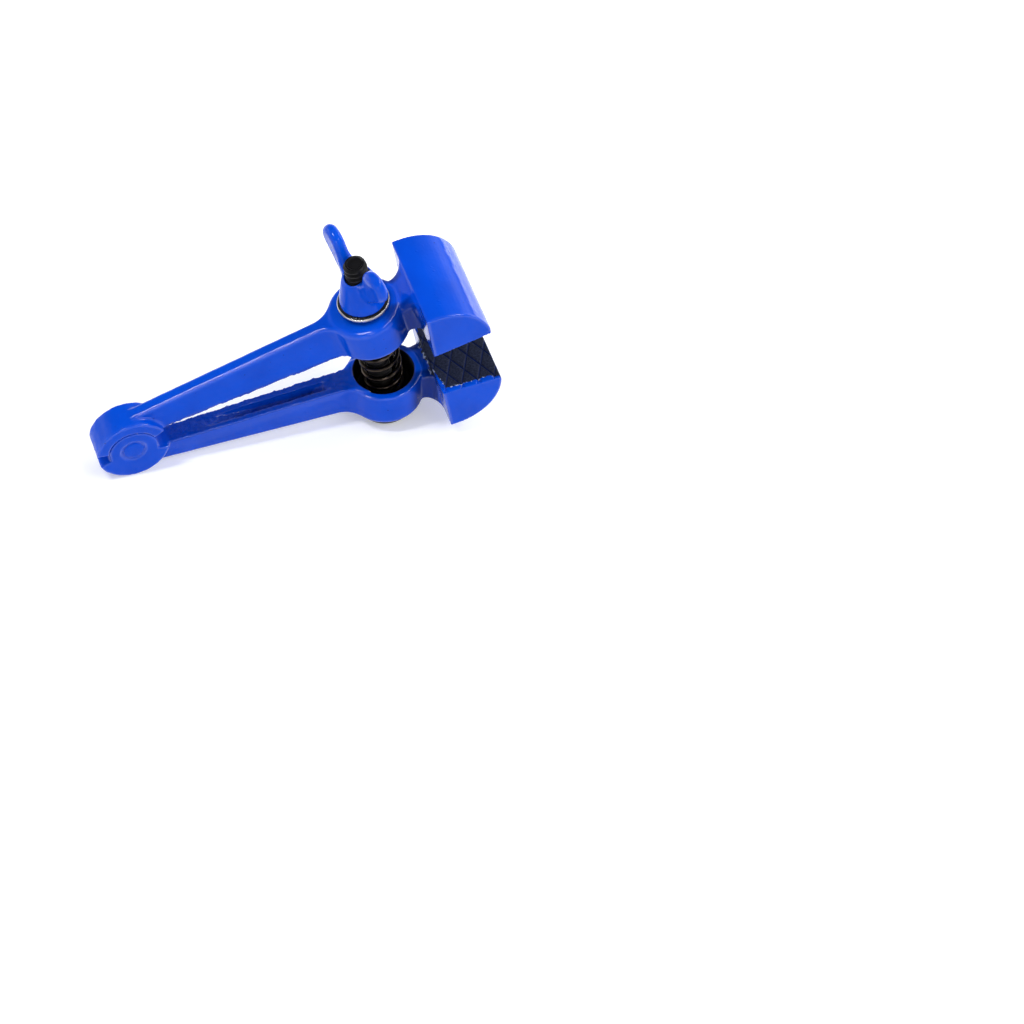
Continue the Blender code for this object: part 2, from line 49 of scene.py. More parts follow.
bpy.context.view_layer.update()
print("frame loaded:", sorted(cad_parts))

# Where each part of the vise stands, in metres and degrees
knucklePoint = (-0.053119, 0.0, 0.012)
boltPoint = (0.032526, 0.0, 0.004604)
bossX = 0.0845  # from the knuckle's pivot to the middle of the bosses
places = {
    "lowerLeg": {"at": knucklePoint, "turn": (180.0, -5.6554, 0.0)},
    "upperLeg": {"at": knucklePoint, "turn": (0.0, -16.5053, 0.0)},
    "boltSeat": {"at": boltPoint, "turn": (0.0, -10.5379, 0.0)},
    "springSeat": {"at": boltPoint, "turn": (0.0, -11.0804, 0.0)},
}


def placeMatrix(name):
    place = places[name]
    turn = Euler([math.radians(v) for v in place["turn"]], "XYZ")
    return Matrix.Translation(place["at"]) @ turn.to_matrix().to_4x4()


# A value in a node tree, so that the tree is written like a formula
class Value:
    def __init__(self, socket):
        self.socket = socket
        self.tree = socket.id_data

    def __add__(self, other):
        return calc("ADD", self, other)

    def __sub__(self, other):
        return calc("SUBTRACT", self, other)

    def __rsub__(self, other):
        return calc("SUBTRACT", other, self)

    def __mul__(self, other):
        return calc("MULTIPLY", self, other)

    def __truediv__(self, other):
        return calc("DIVIDE", self, other)


def feed(node, values):
    for key, value in values.items():
        if isinstance(value, Value):
            value.tree.links.new(value.socket, node.inputs[key])
        else:
            node.inputs[key].default_value = value


def addNode(tree, kind, inputs=None, **settings):
    column, row = len(tree.nodes) % 8, len(tree.nodes) // 8
    node = tree.nodes.new(kind)
    node.location = (220 * column, -320 * row)
    for key, value in settings.items():
        setattr(node, key, value)
    feed(node, inputs or {})
    return node


def addValue(tree, kind, inputs=None, output=0, **settings):
    return Value(addNode(tree, kind, inputs, **settings).outputs[output])


def calc(operation, *values):
    tree = next(value.tree for value in values if isinstance(value, Value))
    return addValue(tree, "ShaderNodeMath", dict(enumerate(values)), operation=operation)


def mapRange(value, low, high, outLow=0.0, outHigh=1.0, smooth=False):
    inputs = {"Value": value, "From Min": low, "From Max": high, "To Min": outLow, "To Max": outHigh}
    kind = "SMOOTHSTEP" if smooth else "LINEAR"
    return addValue(value.tree, "ShaderNodeMapRange", inputs, interpolation_type=kind)


def mixColour(share, first, second):
    node = addNode(share.tree, "ShaderNodeMix", {0: share}, data_type="RGBA")
    spots = [i for i, socket in enumerate(node.inputs) if socket.type == "RGBA"]
    feed(node, {spots[0]: first, spots[1]: second})
    return Value(next(socket for socket in node.outputs if socket.type == "RGBA"))


def noise(vector, scale, detail=3.0, rough=0.5):
    inputs = {"Vector": vector, "Scale": scale, "Detail": detail, "Roughness": rough}
    return addValue(vector.tree, "ShaderNodeTexNoise", inputs)


def split(value, kind="ShaderNodeSeparateXYZ"):
    return [Value(socket) for socket in addNode(value.tree, kind, {0: value}).outputs]


def radiusOf(x, y):
    return calc("SQRT", x * x + y * y)


# The kind of each input follows from its value; None stands for a vector
def newGroup(name, treeKind, inputs, outputs, outputKind="NodeSocketFloat"):
    group = bpy.data.node_groups.new(name, treeKind)
    kinds = {float: "NodeSocketFloat", int: "NodeSocketInt", type(None): "NodeSocketVector"}
    for label, value in inputs.items():
        kind = kinds[type(value)]
        socket = group.interface.new_socket(name=label, in_out="INPUT", socket_type=kind)
        if value is not None:
            socket.default_value = value
    for label in outputs:
        group.interface.new_socket(name=label, in_out="OUTPUT", socket_type=outputKind)
    start = group.nodes.new("NodeGroupInput")
    given = {socket.name: Value(socket) for socket in start.outputs if socket.name}
    return group, given, group.nodes.new("NodeGroupOutput")


# In every pair of limits below, an effect starts at the first number and is full at the second
filmSizes = {
    "waveScale": 260.0,
    "peelScale": 1100.0,
    "nibScale": 420.0,
    "toneScale": 70.0,
    "nibSize": (0.24, 0.05),
    "nibShare": (0.74, 0.80),
    "speckSize": (0.10, 0.04),
    "speckShare": (0.86, 0.88),
    "waveHeight": 0.9,
    "peelHeight": 0.12,
    "nibHeight": 0.45,
}


# Dust nibs, specks and slow waves in a sprayed coat
def makePaintFilm(sizes=filmSizes):
    inputs = {"Vector": None, "Nibs": 1.0, "Waves": 1.0}
    outputs = ["Tone", "Specks", "Height"]
    group, given, end = newGroup("paintFilm", "ShaderNodeTree", inputs, outputs)
    vector = given["Vector"]
    nibInputs = {"Vector": vector, "Scale": sizes["nibScale"]}
    cells = addNode(group, "ShaderNodeTexVoronoi", nibInputs, feature="F1")
    distance = Value(cells.outputs["Distance"])
    chance = split(Value(cells.outputs["Color"]), "ShaderNodeSeparateColor")
    dots = mapRange(distance, *sizes["nibSize"], smooth=True)
    nibs = dots * mapRange(chance[0], *sizes["nibShare"]) * given["Nibs"]
    slow = noise(vector, sizes["waveScale"], 2.0) * given["Waves"]
    peel = noise(vector, sizes["peelScale"], 1.0)
    cores = mapRange(distance, *sizes["speckSize"])
    feed(end, {
        "Tone": noise(vector, sizes["toneScale"], 2.0),
        "Specks": cores * mapRange(chance[1], *sizes["speckShare"]),
        "Height": slow * sizes["waveHeight"] + peel * sizes["peelHeight"] + nibs * sizes["nibHeight"],
    })
    return group


# In the casting's own axes: x along the leg, y along the pivot, z from the gripping face inwards
gripSizes = {
    "grip": {
        "back": 0.0988,
        "halfWidth": 0.0180,
        "coatDepth": (0.0013, 0.0030),
        "coatBack": (0.0998, 0.0990),
        "overspray": 0.0015,
        "oversprayEnd": (0.1147, 0.1187),
        "cornerX": 0.0020,
        "cornerY": 0.0100,
        "backLap": 0.0005,
        "grainScale": 800.0,
        "raggedness": 0.0020,
        # painted glints along the edge of the black grip coat
        "coat": (0.0, 0.00012),
        "paintedGlintsOutside": (-0.00035, -0.00005),
        "paintedGlintsInside": (0.0003, 0.0001),
        "paintedGlintsTip": (0.1175, 0.1165),
    },
    "recess": {
        "raggedness": 0.0003,
        "radius": (0.0101, 0.0099),
        "floor": (0.0130, 0.0120),
    },
    "innerFace": {
        "ends": (0.0120, bossX),
        "levels": (0.0030, 0.0016),
        "depth": (0.0009, 0.0004),
        "slotWidth": (0.0019, 0.0013),
        "slotDepth": (0.0040, 0.0036),
        "slotShade": (0.0002, 0.0030),
        "from": (0.0115, 0.0125),
        "until": (0.0740, 0.0700),
    },
    # painted shade beside the neck
    "nookShade": {
        "from": (0.0875, 0.0925),
        "until": (0.0998, 0.0992),
        "beside": (0.0034, 0.0054),
        "within": (0.0125, 0.0085),
        "depth": (0.0176, 0.0150),
    },
}


# Where the casting is black, chipped, rough or grimy
def makeGripMask(sizes=gripSizes):
    outputs = ["Mask", "Edge", "Recess", "Inside", "NookShade"]
    group, given, end = newGroup("gripMask", "ShaderNodeTree", {"Vector": None}, outputs)
    x, y, z = split(given["Vector"])
    across = calc("ABSOLUTE", y)
    grip = sizes["grip"]
    grain = noise(given["Vector"], grip["grainScale"], 4.0, 0.7) - 0.5
    # The black coat runs further down the back of the jaw than down its sides and tip
    fromBack = x - grip["back"]
    fromSide = grip["halfWidth"] - across
    onBack = mapRange(x, *grip["coatBack"])
    deep = mapRange(onBack, 0.0, 1.0, *grip["coatDepth"]) - z
    # A band along the sides stays blue, narrow at the tip and wide at the back corner
    inBand = fromSide - mapRange(x, *grip["oversprayEnd"], grip["overspray"], 0.0)
    corner = (fromBack / grip["cornerX"] + fromSide / grip["cornerY"] - 1.0) * grip["cornerX"]
    least = calc("MINIMUM", calc("MINIMUM", deep, corner), inBand)
    least = calc("MINIMUM", least, fromBack + grip["backLap"]) + grain * grip["raggedness"]
    # painted glints: pale spots along the edge of the black grip coat
    paintedGlints = mapRange(least, *grip["paintedGlintsOutside"]) * mapRange(least, *grip["paintedGlintsInside"])
    # Black inside the boss's recess
    recess = sizes["recess"]
    radius = radiusOf(x - bossX, y) + grain * recess["raggedness"]
    # The leg's rough inner face, darker for its rough paint and for painted shade, the painted shade
    # darkest in its groove
    face = sizes["innerFace"]
    overFace = z - mapRange(x, *face["ends"], *face["levels"])
    slot = mapRange(across, *face["slotWidth"])
    inSlot = slot * mapRange(overFace, *face["slotDepth"])
    inside = calc("MAXIMUM", mapRange(overFace, *face["depth"]), inSlot)
    onLeg = mapRange(x, *face["from"]) * mapRange(x, *face["until"])
    grooveShade = slot * mapRange(overFace, *face["slotShade"], 0.0, 0.5) + 0.5
    # Painted shade in the nooks beside the neck
    nookShade = sizes["nookShade"]
    along = mapRange(x, *nookShade["from"], smooth=True) * mapRange(x, *nookShade["until"])
    beside = mapRange(across, *nookShade["beside"], smooth=True)
    beside = beside * mapRange(across, *nookShade["within"], smooth=True)
    feed(end, {
        "Mask": mapRange(least, *grip["coat"]),
        "Edge": paintedGlints * mapRange(x, *grip["paintedGlintsTip"]),
        "Recess": mapRange(radius, *recess["radius"]) * mapRange(z, *recess["floor"]),
        "Inside": inside * onLeg * grooveShade,
        "NookShade": along * beside * mapRange(z, *nookShade["depth"], smooth=True),
    })
    return group


paintFilm = makePaintFilm()
gripMask = makeGripMask()


def newMaterial(name):
    material = bpy.data.materials.new(name)
    material.use_nodes = True
    tree = material.node_tree
    tree.nodes.clear()
    shader = addNode(tree, "ShaderNodeBsdfPrincipled")
    addNode(tree, "ShaderNodeOutputMaterial", {"Surface": Value(shader.outputs[0])})
    return material, tree, shader


def objectVector(tree, placeName=None):
    vector = addValue(tree, "ShaderNodeTexCoord", output="Object")
    if placeName is None:
        return vector
    place = places[placeName]
    turn = [math.radians(v) for v in place["turn"]]
    inputs = {"Vector": vector, "Location": place["at"], "Rotation": turn}
    return addValue(tree, "ShaderNodeMapping", inputs, vector_type="TEXTURE")


def bumped(height, distance):
    inputs = {"Height": height, "Strength": 1.0, "Distance": distance}
    return addValue(height.tree, "ShaderNodeBump", inputs)


def placedGroup(group, vector):
    node = addNode(vector.tree, "ShaderNodeGroup", node_tree=group)
    feed(node, {"Vector": vector})
    return {socket.name: Value(socket) for socket in node.outputs}


enamelLook = {
    "blue": (0.0004, 0.068, 0.600, 1.0),
    "deepBlue": (0.0003, 0.050, 0.470, 1.0),
    # rough inner paint with painted shade
    "innerPaintAndShadeBlue": (0.0004, 0.020, 0.240, 1.0),
    # painted shade for the nooks beside the neck
    "nookShadeBlue": (0.0002, 0.008, 0.085, 1.0),
    "speck": (0.001, 0.006, 0.050, 1.0),
    "gripBlack": (0.009, 0.012, 0.028, 1.0),
    "gripGrey": (0.030, 0.038, 0.072, 1.0),
    "grooveBlue": (0.004, 0.013, 0.075, 1.0),
    "recessBlack": (0.0025, 0.0025, 0.003, 1.0),
    # painted glint colour
    "paintedGlint": (0.45, 0.55, 0.80, 1.0),
    "roughness": (0.08, 0.17),
    "rougher": {"Mask": 0.28, "Recess": 0.35, "Inside": 0.12},
    "grainScale": 1500.0,
    "grainHeight": {"Mask": 0.6, "Inside": 1.8},
    "grooveFrom": (0.00012, 0.00035),
    "grooveUntil": (0.0010, 0.0006),
    "paintedGlintScale": 600.0,
    "paintedGlintShare": (0.54, 0.60),
    "nookShadeShare": 0.7,
    "specular": 0.06,
    "coat": (0.10, 0.85),
    "coatRoughness": 0.05,
    "bump": 0.00016,
}


def makeEnamel(name, placeName, gripFace=False, look=enamelLook):
    material, tree, shader = newMaterial(name)
    vector = objectVector(tree, placeName)
    film = placedGroup(paintFilm, vector)
    tone = mapRange(film["Tone"], 0.35, 0.75, 0.0, 0.6)
    colour = mixColour(tone, look["blue"], look["deepBlue"])
    colour = mixColour(film["Specks"], colour, look["speck"])
    rough = mapRange(film["Tone"], 0.2, 0.8, *look["roughness"])
    height = film["Height"]
    # The coat shines most where the casting bends
    polish = addValue(tree, "ShaderNodeAttribute", output="Fac", attribute_name="polish")
    coat = mapRange(polish, 0.0, 1.0, *look["coat"])
    if gripFace:
        grip = placedGroup(gripMask, vector)
        grain = noise(vector, look["grainScale"], 4.0, 0.7)
        # painted shade on the leg's inner face and in its groove, mixed with its rough paint
        inner = grip["Inside"] * mapRange(grain, 0.35, 0.65, 0.55, 1.0)
        colour = mixColour(inner, colour, look["innerPaintAndShadeBlue"])
        # painted shade: the nooks beside the neck are darkened towards a near-black blue
        colour = mixColour(grip["NookShade"] * look["nookShadeShare"], colour, look["nookShadeBlue"])
        black = mixColour(mapRange(grain, 0.4, 0.7), look["gripBlack"], look["gripGrey"])
        depth = split(vector)[2]
        groove = mapRange(depth, *look["grooveFrom"]) * mapRange(depth, *look["grooveUntil"])
        groove = groove * mapRange(grain, 0.35, 0.6, 0.55, 1.0)
        black = mixColour(groove, black, look["grooveBlue"])
        colour = mixColour(grip["Mask"], colour, black)
        colour = mixColour(grip["Recess"], colour, look["recessBlack"])
        # painted glints: pale blue-white spots along the edge of the black grip coat
        paintedGlints = grip["Edge"] * mapRange(noise(vector, look["paintedGlintScale"], 2.0), *look["paintedGlintShare"])
        colour = mixColour(paintedGlints, colour, look["paintedGlint"])
        for part, more in look["rougher"].items():
            rough = rough + grip[part] * more
        heights = look["grainHeight"]
        coarse = grip["Mask"] * heights["Mask"] + grip["Inside"] * heights["Inside"]
        height = height - coarse * grain
        coat = coat * mapRange(grip["Recess"] + grip["Mask"], 1.0, 0.0)
    feed(shader, {
        "Base Color": colour,
        "Roughness": rough,
        "Specular IOR Level": look["specular"],
        "Coat Weight": coat,
        "Coat Roughness": look["coatRoughness"],
        "Normal": bumped(height, look["bump"]),
    })
    return material


boltLook = {
    "black": (0.0040, 0.0040, 0.0048, 1.0),
    "worn": (0.060, 0.055, 0.050, 1.0),
    "crest": (0.00355, 0.00373),
    "outside": (0.00395, 0.00385),
    "roughness": (0.30, 0.44),
    "specular": 0.12,
    "bump": 0.00005,
}


def makeBlackOxide(name, look=boltLook):
    material, tree, shader = newMaterial(name)
    vector = objectVector(tree, "boltSeat")
    radius = radiusOf(*split(vector)[:2])
    grain = noise(vector, 1800.0, 4.0, 0.7)
    patches = noise(vector, 350.0, 3.0)
    onCrest = mapRange(radius, *look["crest"]) * mapRange(radius, *look["outside"])
    wear = onCrest * mapRange(patches, 0.40, 0.70)
    wear = calc("MAXIMUM", wear * 0.7, mapRange(grain, 0.64, 0.78) * 0.25)
    feed(shader, {
        "Base Color": mixColour(wear, look["black"], look["worn"]),
        "Roughness": mapRange(patches, 0.3, 0.7, *look["roughness"]),
        "Metallic": mapRange(wear, 0.0, 1.0, 0.0, 0.8),
        "Specular IOR Level": look["specular"],
        "Normal": bumped(grain, look["bump"]),
    })
    return material


springLook = {
    "dark": (0.014, 0.011, 0.009, 1.0),
    "glint": (0.075, 0.058, 0.045, 1.0),
    "roughness": (0.14, 0.22),
    "bump": 0.00002,
}


def makeSpringSteel(name, look=springLook):
    material, tree, shader = newMaterial(name)
    vector = objectVector(tree, "springSeat")
    patches = noise(vector, 260.0, 3.0)
    grain = noise(vector, 2600.0, 3.0)
    feed(shader, {
        "Base Color": mixColour(mapRange(patches, 0.40, 0.75), look["dark"], look["glint"]),
        "Roughness": mapRange(grain, 0.3, 0.7, *look["roughness"]),
        "Metallic": 1.0,
        "Normal": bumped(grain, look["bump"]),
    })
    return material


washerLook = {
    "bright": (0.60, 0.57, 0.53, 1.0),
    "dull": (0.34, 0.31, 0.28, 1.0),
    # painted shade under the nut
    "nutShade": (0.010, 0.009, 0.010, 1.0),
    "nutShadeRadius": (0.0082, 0.0081),
    "nutShadeWander": 0.0004,
    "ringScale": 42000.0,
    "roughness": (0.22, 0.34),
    "bump": 0.000010,
}


def makeBrightSteel(name, look=washerLook):
    material, tree, shader = newMaterial(name)
    vector = objectVector(tree, "boltSeat")
    radius = radiusOf(*split(vector)[:2])
    rings = calc("SINE", radius * look["ringScale"])
    patches = noise(vector, 300.0, 3.0)
    # painted shade under the nut: the washer's face is near black inside this radius, leaving a bright
    # rim
    nutShade = mapRange(radius + (patches - 0.5) * look["nutShadeWander"], *look["nutShadeRadius"])
    colour = mixColour(mapRange(patches, 0.45, 0.75), look["bright"], look["dull"])
    feed(shader, {
        "Base Color": mixColour(nutShade, colour, look["nutShade"]),
        "Roughness": mapRange(patches, 0.3, 0.7, *look["roughness"]),
        "Metallic": mapRange(nutShade, 0.0, 1.0, 1.0, 0.3),
        "Normal": bumped(rings, look["bump"]),
    })
    return material


lowerEnamel = makeEnamel("lowerLegEnamel", "lowerLeg", True)
upperEnamel = makeEnamel("upperLegEnamel", "upperLeg", True)
nutEnamel = makeEnamel("wingNutEnamel", "boltSeat")
rivetEnamel = makeEnamel("rivetEnamel", "lowerLeg")
blackOxide = makeBlackOxide("boltBlackOxide")
springSteel = makeSpringSteel("springSteel")
brightSteel = makeBrightSteel("washerSteel")
print("materials made")

# Limits for cleaning up a mesh
meshLimits = {"merge": 0.000001, "flatAngle": 0.4, "cut": 0.0000001}


def newObject(name, data, material=None):
    item = bpy.data.objects.new(name, data)
    scene.collection.objects.link(item)
    if material:
        data.materials.clear()
        data.materials.append(material)
    return item


# A CAD node's solid as one closed mesh, in the axes of the named place
def nodeMesh(nodeName, placeName=None):
    bm = bmesh.new()
    bm.from_mesh(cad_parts[nodeName].data)
    bmesh.ops.remove_doubles(bm, verts=bm.verts, dist=meshLimits["merge"])
    if placeName:
        bm.transform(placeMatrix(placeName).inverted())
    return bm


def dissolveFlat(bm):
    limit = math.radians(meshLimits["flatAngle"])
    bmesh.ops.dissolve_limit(bm, angle_limit=limit, verts=bm.verts, edges=bm.edges)


def finishedMesh(name, bm):
    mesh = bpy.data.meshes.new(name)
    bm.to_mesh(mesh)
    bm.free()
    return mesh


def evaluatedMesh(item):
    graph = bpy.context.evaluated_depsgraph_get()
    mesh = bpy.data.meshes.new_from_object(item.evaluated_get(graph))
    item.modifiers.clear()
    return mesh


def shade(mesh, angle):
    mesh.shade_smooth()
    mesh.set_sharp_from_angle(angle=math.radians(angle))


def bevelEdges(item, width, angle, **settings):
    bevel = item.modifiers.new("wornEdges", "BEVEL")
    bevel.width = width
    bevel.segments = 2
    bevel.limit_method = "ANGLE"
    bevel.angle_limit = math.radians(angle)
    for key, value in settings.items():
        setattr(bevel, key, value)
    item.data = evaluatedMesh(item)
    shade(item.data, 40.0)
    return item


def voxelMesh(name, bm, voxel):
    item = newObject(name, finishedMesh(name, bm))
    remesh = item.modifiers.new("remesh", "REMESH")
    remesh.mode = "VOXEL"
    remesh.voxel_size = voxel
    made = evaluatedMesh(item)
    bpy.data.objects.remove(item)
    return made


def fullTurn(steps):
    return [2 * math.pi * i / steps for i in range(steps)]


# Joins rings of equal count into a tube, which may close on itself
def joinRings(bm, rings, closed=False):
    faces = []
    for near, far in zip(rings, rings[1:] + (rings[:1] if closed else [])):
        for i in range(len(near)):
            j = (i + 1) % len(near)
            faces.append(bm.faces.new((near[i], near[j], far[j], far[i])))
    return faces


def addLoft(bm, sections):
    rings = [[bm.verts.new(point) for point in section] for section in sections]
    faces = joinRings(bm, rings) + [bm.faces.new(rings[0]), bm.faces.new(rings[-1])]
    bmesh.ops.recalc_face_normals(bm, faces=faces)


# A closed profile of radius and height turned about the boss
def addRing(bm, centreX, profile, steps=96):
    rings = []
    for a in fullTurn(steps):
        points = [(centreX + r * math.cos(a), r * math.sin(a), z) for r, z in profile]
        rings.append([bm.verts.new(point) for point in points])
    bmesh.ops.recalc_face_normals(bm, faces=joinRings(bm, rings, closed=True))


def smoothStep(value, low, high):
    t = np.clip((value - low) / (high - low), 0.0, 1.0)
    return t * t * (3.0 - 2.0 * t)


def readMesh(mesh):
    points = np.empty(len(mesh.vertices) * 3)
    mesh.vertices.foreach_get("co", points)
    pairs = np.empty(len(mesh.edges) * 2, dtype=np.int64)
    mesh.edges.foreach_get("vertices", pairs)
    return points.reshape(-1, 3), pairs.reshape(-1, 2)


def writePoints(mesh, points):
    mesh.vertices.foreach_set("co", points.reshape(-1))
    mesh.update()


def readNormals(mesh, points):
    writePoints(mesh, points)
    normals = np.empty(len(mesh.vertices) * 3)
    mesh.vertex_normals.foreach_get("vector", normals)
    return normals.reshape(-1, 3)


# Moves every point towards the middle of its neighbours, by its own weight
def relax(points, pairs, weight, rounds):
    count = len(points)
    ends = np.concatenate([pairs[:, 0], pairs[:, 1]])
    others = np.concatenate([pairs[:, 1], pairs[:, 0]])
    degree = np.maximum(np.bincount(ends, minlength=count), 1)
    for i in range(rounds):
        sums = [np.bincount(ends, weights=points[others, k], minlength=count) for k in range(3)]
        mean = np.stack([total / degree for total in sums], axis=1)
        points = points + (mean - points) * weight[:, None]
    return points


def waves(points, scale, shift):
    offset = Vector((shift, shift * 0.7, -shift * 1.3))
    return np.array([perlin.noise(Vector(p) * scale + offset) for p in points.tolist()])


bendMark = {"bend": (0.000012, 0.000032), "rounds": 5}


# Writes where the casting bends, for the shine of its enamel
def markBends(mesh, mark=bendMark):
    points, pairs = readMesh(mesh)
    softened = relax(points, pairs, np.full(len(points), 0.5), mark["rounds"])
    bend = np.abs(np.einsum("ij,ij->i", points - softened, readNormals(mesh, points)))
    layer = mesh.attributes.new("polish", "FLOAT", "POINT")
    layer.data.foreach_set("value", smoothStep(bend, *mark["bend"]).astype(np.float32))


castingShape = {
    "voxel": 0.00034,
    "softRounds": 6,
    "jaw": {
        "from": (0.0975, 0.0990),
        "corner": (0.0975, 0.0180),
        "aroundCorner": (0.0015, 0.0035),
        "cutFrom": 0.0950,
        "faceLevel": 0.0009,
        "gripEdge": 0.00007,
    },
    # Stock below the gripping face, cut off again once the edges are soft
    "stock": {
        "back": 0.09885, "tip": 0.1181, "slope": 0.0002,
        "low": -0.0013, "high": 0.0011, "half": 0.01785,
    },
    "flare": {
        "start": 0.0935, "end": 0.1030, "ramp": 0.0012, "low": 0.0147, "high": 0.01735,
        "half": 0.0071, "fillet": 0.0046, "filletEnd": 0.1004, "chamfer": 0.0013, "inner": 0.0034,
    },
    "leg": {
        "ends": (0.0120, bossX), "halves": (0.0030, 0.0039), "levels": (0.0030, 0.0016),
        "bossRadius": 0.0119, "fillet": 0.0085,
    },
    "lip": {
        "start": 0.0100, "end": 0.0745, "fading": (0.0745, 0.0665),
        "wider": 0.00054, "lower": 0.00047, "slot": 0.0018, "topHalf": 0.0023, "height": 0.0085,
    },
    "runOuts": {
        "limits": (0.0420, 0.0600), "rises": (0.0024, 0.0030), "flats": (0.3, 0.5),
        "half": 0.0020, "height": 0.0050,
    },
    "rim": [(0.0085, 0.0130), (0.0116, 0.0130), (0.0117, 0.0149), (0.0110, 0.0157), (0.0085, 0.0157)],
    "knuckle": {
        "from": (0.0150, 0.0125),
        "disc": {"radius": 0.00792, "shift": 0.00012, "sides": (-0.00015, 0.0051)},
        "edge": {
            "radius": (0.0106, 0.0112), "beside": (0.0033, 0.0041), "until": (0.0165, 0.0150),
            "rounds": 7,
        },
        "ring": {"radius": 0.0036, "width": 0.0007, "depth": 0.0005, "beside": (0.0045, 0.0050)},
        "lumps": {"height": 0.00008, "scale": 500.0, "radius": (0.0112, 0.0118)},
    },
    "skin": {
        "height": 0.00003, "slowScale": 260.0, "fineScale": 900.0, "innerHeight": 0.00022,
        "lipFrom": (0.009, 0.0105), "from": (0.0120, 0.0130), "until": (0.0760, 0.0735),
        "depth": (0.0010, 0.0003), "slotWidth": (0.0020, 0.0016), "slotDepth": (0.0050, 0.0046),
    },
    "flash": {
        "height": 0.00045, "drop": 0.7, "reach": (0.0009, 0.0001), "until": (0.0720, 0.0680),
        "scales": (620.0, 1500.0), "fineShare": 0.55,
    },
}


# The neck runs up into the back of the jaw in one soft slope
def neckFlare(start, end, ramp, low, high, half, fillet, filletEnd, chamfer, inner, steps=12):
    sections = []
    for i in range(steps + 1):
        x = start + (end - start) * i / steps
        top = low + (high - low) * float(smoothStep(x, start + ramp, end - ramp))
        along = min(max(x - filletEnd + fillet, 0.0), fillet)
        wide = half + fillet - math.sqrt(fillet ** 2 - along ** 2)
        outline = [(-wide, inner), (-wide, top - chamfer), (chamfer - wide, top)]
        outline += [(-y, z) for y, z in reversed(outline)]
        sections.append([(x, y, z) for y, z in outline])
    return sections


# Half width and level of the leg's inner face at a distance from the knuckle
def innerEdge(x, ends, halves, levels, bossRadius, fillet):
    half = float(np.interp(x, ends, halves))
    spread = bossRadius + fillet
    reach = math.sqrt(spread ** 2 - (half + fillet) ** 2)
    travel = min(max(reach - abs(x - ends[1]), 0.0), reach * fillet / spread)
    half = half + fillet - math.sqrt(fillet ** 2 - travel ** 2)
    return half, float(np.interp(x, ends, levels))


# Lips that widen the leg's inner face on both sides of its groove
def addLips(bm, leg, start, end, fading, wider, lower, slot, topHalf, height, steps=28):
    rows = []
    for i in range(steps + 1):
        x = start + (end - start) * i / steps
        half, level = innerEdge(x, **leg)
        fade = float(smoothStep(x, *fading))
        rows.append((x, half + wider * fade, level - lower * fade))
    for side in (1, -1):
        sections = []
        for x, half, level in rows:
            top = level + height
            outline = [(slot, level), (half, level), (topHalf, top), (slot, top)]
            sections.append([(x, side * y, z) for y, z in outline])
        addLoft(bm, sections)
    return rows


# The groove's floor rises at both ends, after this share of the way to each
def addRunOuts(bm, rows, limits, rises, flats, half, height):
    nearKnuckle = [row for row in rows if row[0] < limits[0]]
    nearBoss = [row for row in reversed(rows) if row[0] > limits[1]]
    for part, rise, flat in zip((nearKnuckle, nearBoss), rises, flats):
        first, last = part[0][0], part[-1][0]
        sections = []
        for x, lipHalf, level in part:
            z = level + rise * float(smoothStep(x, first + flat * (last - first), last))
            sections.append([(x, -half, z), (x, half, z), (x, half, z + height), (x, -half, z + height)])
        addLoft(bm, sections)


def castingBlank(nodeName, placeName, shape):
    bm = nodeMesh(nodeName, placeName)
    addLoft(bm, neckFlare(**shape["flare"]))
    addRunOuts(bm, addLips(bm, shape["leg"], **shape["lip"]), **shape["runOuts"])
    addRing(bm, bossX, shape["rim"])
    stock = shape["stock"]
    back, tip, low, high = stock["back"], stock["tip"], stock["low"], stock["high"]
    outline = [(back, low), (tip, low), (tip + stock["slope"], high), (back, high)]
    addLoft(bm, [[(x, y, z) for x, z in outline] for y in (-stock["half"], stock["half"])])
    disc = shape["knuckle"]["disc"]
    radius, shift = disc["radius"], disc["shift"]
    outline = [(radius * math.cos(a) + shift, radius * math.sin(a) + shift) for a in fullTurn(96)]
    addLoft(bm, [[(x, y, z) for x, z in outline] for y in disc["sides"]])
    return voxelMesh(nodeName + "Blank", bm, shape["voxel"])


# Edges softened, and a ring pressed in round the rivet
def softenCasting(points, pairs, shape):
    x, y, z = points.T
    jaw, knuckle = shape["jaw"], shape["knuckle"]
    atKnuckle = smoothStep(x, *knuckle["from"])
    fromCorner = np.hypot(x - jaw["corner"][0], z - jaw["corner"][1])
    atJaw = smoothStep(x, *jaw["from"]) * smoothStep(fromCorner, *jaw["aroundCorner"])
    weight = 0.5 * (1.0 - 0.6 * atKnuckle) * (1.0 - 0.7 * atJaw)
    points = relax(points, pairs, weight, shape["softRounds"])
    x, y, z = points.T
    edge = knuckle["edge"]
    atEdge = smoothStep(np.hypot(x, z), *edge["radius"]) * smoothStep(np.abs(y), *edge["beside"])
    points = relax(points, pairs, 0.5 * atEdge * smoothStep(x, *edge["until"]), edge["rounds"])
    x, y, z = points.T
    ring = knuckle["ring"]
    pressed = smoothStep(np.abs(np.hypot(x, z) - ring["radius"]), ring["width"], 0.0)
    points[:, 1] -= np.sign(y) * pressed * smoothStep(np.abs(y), *ring["beside"]) * ring["depth"]
    return points, atKnuckle


def flashTeeth(x, y, flash, seed):
    coarse, fine = flash["scales"]
    teeth = []
    for a, b in zip(x.tolist(), y.tolist()):
        big = perlin.noise(Vector((a * coarse, 3.0 if b > 0 else -9.0, seed)))
        small = perlin.noise(Vector((a * fine, 5.0 if b > 0 else -5.0, seed)))
        teeth.append(max(0.0, big + flash["fineShare"] * small))
    return np.array(teeth)


